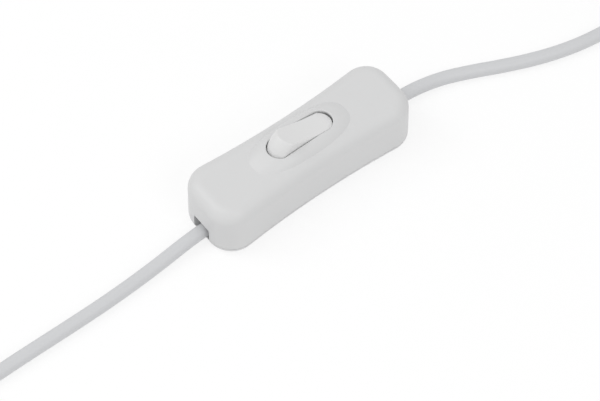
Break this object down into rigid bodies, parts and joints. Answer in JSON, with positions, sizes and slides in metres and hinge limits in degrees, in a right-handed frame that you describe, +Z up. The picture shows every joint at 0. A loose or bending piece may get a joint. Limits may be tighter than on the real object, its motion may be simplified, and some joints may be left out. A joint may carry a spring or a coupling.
{
  "type": "switched power cord",
  "caption": "Thin white two-core low-voltage cord with a waisted in-line rocker switch, a barrel plug at one end and the matching socket at the other, spare length in tied hanks.",
  "frame": {"origin": "under the middle of the switch body, on the surface that it lies on", "axes": "+X along the switch to the load end, +Y across it, +Z up through the rocker"},
  "size_m": [0.3276, 0.035, 0.0218],
  "materials": {
    "housing_white": "fine matt moulded white plastic",
    "rocker_white": "smooth moulded white plastic",
    "cord_white": "soft satin white vinyl jacket",
    "moulded_white": "moulded white vinyl",
    "tie_white": "flat white plastic band",
    "brass": "stamped brass",
    "contact_silver": "silver alloy contact",
    "screw_steel": "zinc plated steel",
    "nickel": "nickel plated brass",
    "insulator_black": "black plastic",
    "core_red": "red core insulation",
    "copper": "bare stranded copper"
  },
  "bodies": {
    "switch_body": {"upper_housing": "housing_white", "base_cover": "housing_white", "supply_terminal": "brass", "load_terminal": "brass", "fixed_contact": "contact_silver", "terminal_screws": "screw_steel", "supply_core": "core_red", "load_core": "core_red", "return_core": "insulator_black", "supply_conductor": "copper", "load_conductor": "copper", "supply_clamp": "moulded_white", "load_clamp": "moulded_white", "clamp_screws": "screw_steel", "housing_screws": "screw_steel", "supply_cord": "cord_white", "load_cord": "cord_white", "supply_hank": "cord_white", "load_hank": "cord_white", "supply_tie": "tie_white", "load_tie": "tie_white", "supply_tail": "cord_white", "load_tail": "cord_white", "plug_grip": "moulded_white", "plug_sleeve": "nickel", "plug_insulator": "insulator_black", "plug_contact": "nickel", "jack_grip": "moulded_white", "jack_sleeve": "nickel", "jack_insulator": "insulator_black", "jack_pin": "nickel"},
    "rocker": {"rocker": "rocker_white", "plunger_spring": "screw_steel"},
    "plunger": {"plunger": "brass"},
    "lever": {"contact_lever": "brass", "moving_contact": "contact_silver"}
  },
  "joints": [
    {"name": "rocker_hinge", "type": "hinge", "parent": "switch_body", "child": "rocker", "pos_m": [0, 0, 0.0141], "axis": [0, -1, 0], "range_deg": [0, 34.52]},
    {"name": "lever_rock", "type": "hinge", "parent": "switch_body", "child": "lever", "pos_m": [0, 0, 0.0052], "axis": [0, 1, 0], "range_deg": [0, 16]},
    {"name": "plunger_slide", "type": "slide", "parent": "rocker", "child": "plunger", "axis": [-0.2967, 0, -0.955], "range_m": [0, 0.00045], "stiffness_N_per_m": 150, "springref_m": 0.0006, "deforming": ["plunger_spring"]}
  ],
  "couplings": [
    {"joint": "lever_rock", "follows": "rocker_hinge", "ratio": 0.4635}
  ]
}
